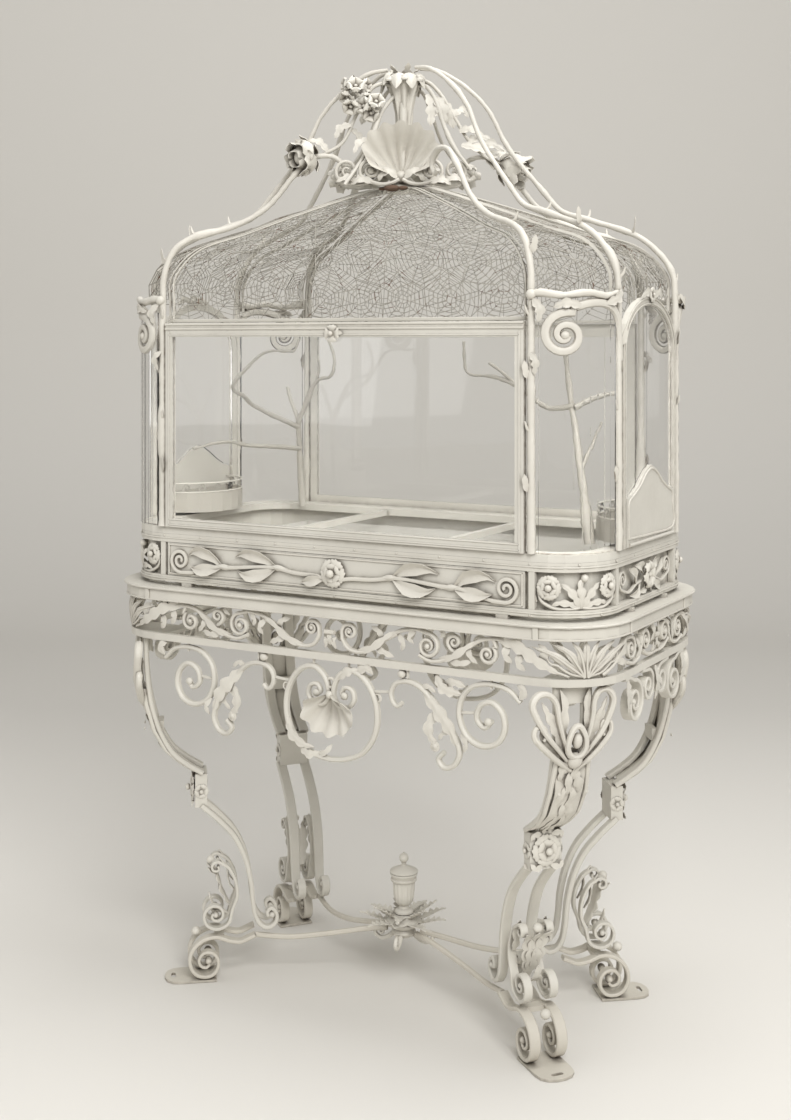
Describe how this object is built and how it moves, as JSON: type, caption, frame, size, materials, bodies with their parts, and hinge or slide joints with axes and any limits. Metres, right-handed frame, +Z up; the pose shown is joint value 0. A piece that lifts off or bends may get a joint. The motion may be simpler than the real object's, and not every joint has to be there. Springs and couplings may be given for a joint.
{
  "type": "bird cage on stand",
  "caption": "Ornate wrought-iron bird cage with glass walls and a domed wire roof, on a scrolled four-legged stand; front window, drawer and feeder doors open.",
  "frame": {"origin": "on the floor, under the middle of the stand", "axes": "+Z up, front faces -Y, long side along X"},
  "size_m": [1.14, 0.614, 1.946],
  "materials": {
    "painted_iron": "old off-white paint with dirt in the crevices",
    "wire": "off-white painted wire",
    "twig": "off-white painted twig bars",
    "zinc": "dull grey sheet metal, stained",
    "worn_foot": "worn off-white paint",
    "glass": "clear glass"
  },
  "bodies": {
    "cage_on_stand": {"apron_back": "painted_iron", "apron_front": "painted_iron", "back_rib_left": "painted_iron", "back_rib_right": "painted_iron", "back_window_frame": "painted_iron", "back_window_glass": "glass", "base_scroll_back_left": "painted_iron", "base_scroll_back_right": "painted_iron", "base_scroll_front_left": "painted_iron", "base_scroll_front_right": "painted_iron", "cage_sill": "painted_iron", "corner_glass_back_left": "glass", "corner_glass_back_right": "glass", "corner_glass_front_left": "glass", "corner_glass_front_right": "glass", "crown_finial": "painted_iron", "crown_shell_back": "painted_iron", "crown_shell_front": "painted_iron", "foot_plate_back_left": "worn_foot", "foot_plate_back_right": "worn_foot", "foot_plate_front_left": "worn_foot", "foot_plate_front_right": "worn_foot", "front_rib_left": "painted_iron", "front_rib_right": "painted_iron", "head_rail_front": "painted_iron", "hub_rosette": "painted_iron", "leg_back_left": "painted_iron", "leg_back_right": "painted_iron", "leg_front_left": "painted_iron", "leg_front_right": "painted_iron", "perch_left": "twig", "perch_right": "twig", "plinth_backing": "painted_iron", "plinth_frame": "painted_iron", "roof_mesh_back": "wire", "roof_mesh_front": "wire", "roof_mesh_left": "wire", "roof_mesh_right": "wire", "side_frame_left": "painted_iron", "side_frame_right": "painted_iron", "side_glass_left": "glass", "side_glass_right": "glass", "side_rib_back_left": "painted_iron", "side_rib_back_right": "painted_iron", "side_rib_front_left": "painted_iron", "side_rib_front_right": "painted_iron", "stand_frieze": "painted_iron", "stand_lower_rail": "painted_iron", "stand_top_rail": "painted_iron", "urn_body": "painted_iron", "urn_lid": "painted_iron"},
    "front_window": {"front_window_frame": "painted_iron", "front_window_glass": "glass"},
    "latch": {"window_latch": "painted_iron"},
    "drawer": {"drawer_front": "painted_iron", "drawer_tray": "zinc"},
    "left_feeder": {"feeder_door_left": "painted_iron", "feeder_trough_left": "wire"},
    "right_feeder": {"feeder_door_right": "painted_iron", "feeder_trough_right": "wire"}
  },
  "joints": [
    {"name": "window_tilt", "type": "hinge", "parent": "cage_on_stand", "child": "front_window", "pos_m": [0, -0.282, 0.9673], "axis": [1, 0, 0], "range_deg": [0, 90]},
    {"name": "latch_turn", "type": "hinge", "parent": "front_window", "child": "latch", "pos_m": [0, -0.282, 1.366], "axis": [0, -1, 0], "range_deg": [0, 90]},
    {"name": "drawer_slide", "type": "slide", "parent": "cage_on_stand", "child": "drawer", "axis": [0, -1, 0], "range_m": [0, 0.4]},
    {"name": "left_feeder_tilt", "type": "hinge", "parent": "cage_on_stand", "child": "left_feeder", "pos_m": [-0.547, 0, 0.972], "axis": [0, -1, 0], "range_deg": [0, 30]},
    {"name": "right_feeder_tilt", "type": "hinge", "parent": "cage_on_stand", "child": "right_feeder", "pos_m": [0.547, 0, 0.972], "axis": [0, 1, 0], "range_deg": [0, 30]}
  ]
}
